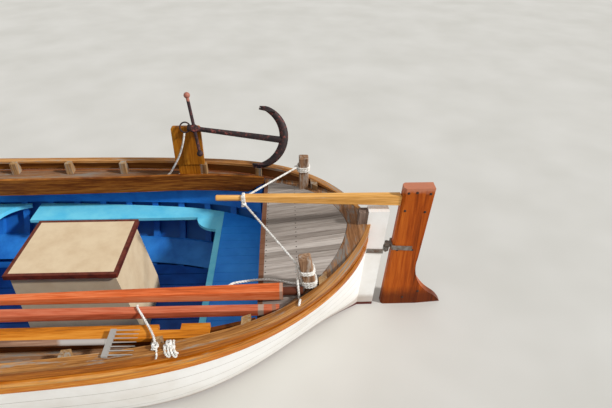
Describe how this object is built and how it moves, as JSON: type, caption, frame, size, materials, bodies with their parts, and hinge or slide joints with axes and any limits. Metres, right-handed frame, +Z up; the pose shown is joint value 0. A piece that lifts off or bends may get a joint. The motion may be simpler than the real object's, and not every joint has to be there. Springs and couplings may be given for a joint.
{
  "type": "rowing boat",
  "caption": "Double-ended decked wooden rowing and motor boat with an open cockpit, engine box, hung rudder with tiller, oars, mooring bitts and an anchor stowed at the rail.",
  "frame": {"origin": "on the centreline amidships, at the height of the waterline", "axes": "+X forward to the bow, +Y to port, +Z up; the hull is 5.45 m long along X, 5.9 m with its rudder, and floats level"},
  "size_m": [5.904, 1.978, 1.6045],
  "materials": {
    "white_hull_paint": "gloss paint over wood, worn",
    "orange_varnish": "varnished, weathered",
    "brown_varnish": "old dark varnish",
    "weathered_grey_wood": "bare and silvered by the weather",
    "timber_paint_blue": "matt paint",
    "dark_blue_paint": "matt paint, scuffed",
    "royal_blue_paint": "satin paint",
    "light_blue_paint": "matt paint",
    "beige_paint": "satin paint",
    "red_brown_paint": "satin paint",
    "rudder_varnish": "red-brown varnish, worn at the top",
    "light_varnish": "varnished",
    "oar_varnish": "varnished",
    "pale_pole_wood": "bare wood",
    "bronze": "cast and filed",
    "stainless_steel": "turned",
    "galvanised_iron": "galvanised, dull",
    "rusty_iron": "rusty",
    "engine_iron": "painted casting",
    "white_rope": "laid rope"
  },
  "bodies": {
    "hull": {"planking_port": "white_hull_paint", "planking_starboard": "white_hull_paint", "stern_post": "white_hull_paint", "stem_post": "white_hull_paint", "keel": "white_hull_paint", "cap_rail_port": "weathered_grey_wood", "cap_rail_starboard": "weathered_grey_wood", "bulwark_port": "orange_varnish", "bulwark_starboard": "orange_varnish", "sheer_strake_port": "orange_varnish", "sheer_strake_starboard": "orange_varnish", "rub_rail_port": "weathered_grey_wood", "rub_rail_starboard": "weathered_grey_wood", "frames": "dark_blue_paint", "side_deck_port": "brown_varnish", "side_deck_starboard": "brown_varnish", "coaming_port": "brown_varnish", "coaming_starboard": "brown_varnish", "aft_covering_board": "brown_varnish", "aft_deck": "weathered_grey_wood", "fore_covering_board": "brown_varnish", "fore_deck": "weathered_grey_wood", "deck_beams": "brown_varnish", "bulwark_stanchions_port": "weathered_grey_wood", "bulwark_stanchions_starboard": "weathered_grey_wood", "stern_knee": "weathered_grey_wood", "floorboards": "dark_blue_paint", "bilge_lining": "light_blue_paint", "side_lining": "timber_paint_blue", "side_bench_port": "light_blue_paint", "side_bench_starboard": "light_blue_paint", "stern_bench_edge": "light_blue_paint", "stern_bench": "royal_blue_paint", "bench_bearers": "dark_blue_paint", "thwarts": "light_blue_paint", "thwart_knees": "light_blue_paint", "engine_box": "beige_paint", "engine": "engine_iron", "engine_bearers": "dark_blue_paint", "stern_tube": "bronze", "gudgeons": "galvanised_iron", "stern_bitts": "weathered_grey_wood", "bow_bitt": "weathered_grey_wood", "anchor": "rusty_iron", "anchor_stock": "rusty_iron", "anchor_ring": "rusty_iron", "anchor_bracket": "orange_varnish", "oar_inboard": "oar_varnish", "oar_outboard": "oar_varnish", "notched_plank": "orange_varnish", "fish_spear": "pale_pole_wood", "anchor_rope": "white_rope", "deck_rope": "white_rope"},
    "engine_lid": {"engine_box_lid": "beige_paint", "lid_trim": "red_brown_paint"},
    "steering": {"rudder": "rudder_varnish", "tiller": "light_varnish", "pintles": "galvanised_iron"},
    "drive": {"propeller_shaft": "stainless_steel", "propeller": "bronze"}
  },
  "joints": [
    {"name": "engine_lid_hinge", "type": "hinge", "parent": "hull", "child": "engine_lid", "pos_m": [-0.538, 0, 0.4723], "axis": [0, 1, 0], "range_deg": [0, 95]},
    {"name": "rudder_pintles", "type": "hinge", "parent": "hull", "child": "steering", "pos_m": [-2.68, 0, 0], "axis": [-0.0698, 0, 0.9976], "range_deg": [-35, 35]},
    {"name": "propeller_spin", "type": "hinge", "parent": "hull", "child": "drive", "pos_m": [-2.42, 0, -0.267], "axis": [0.9934, 0, 0.1149], "continuous": true}
  ]
}
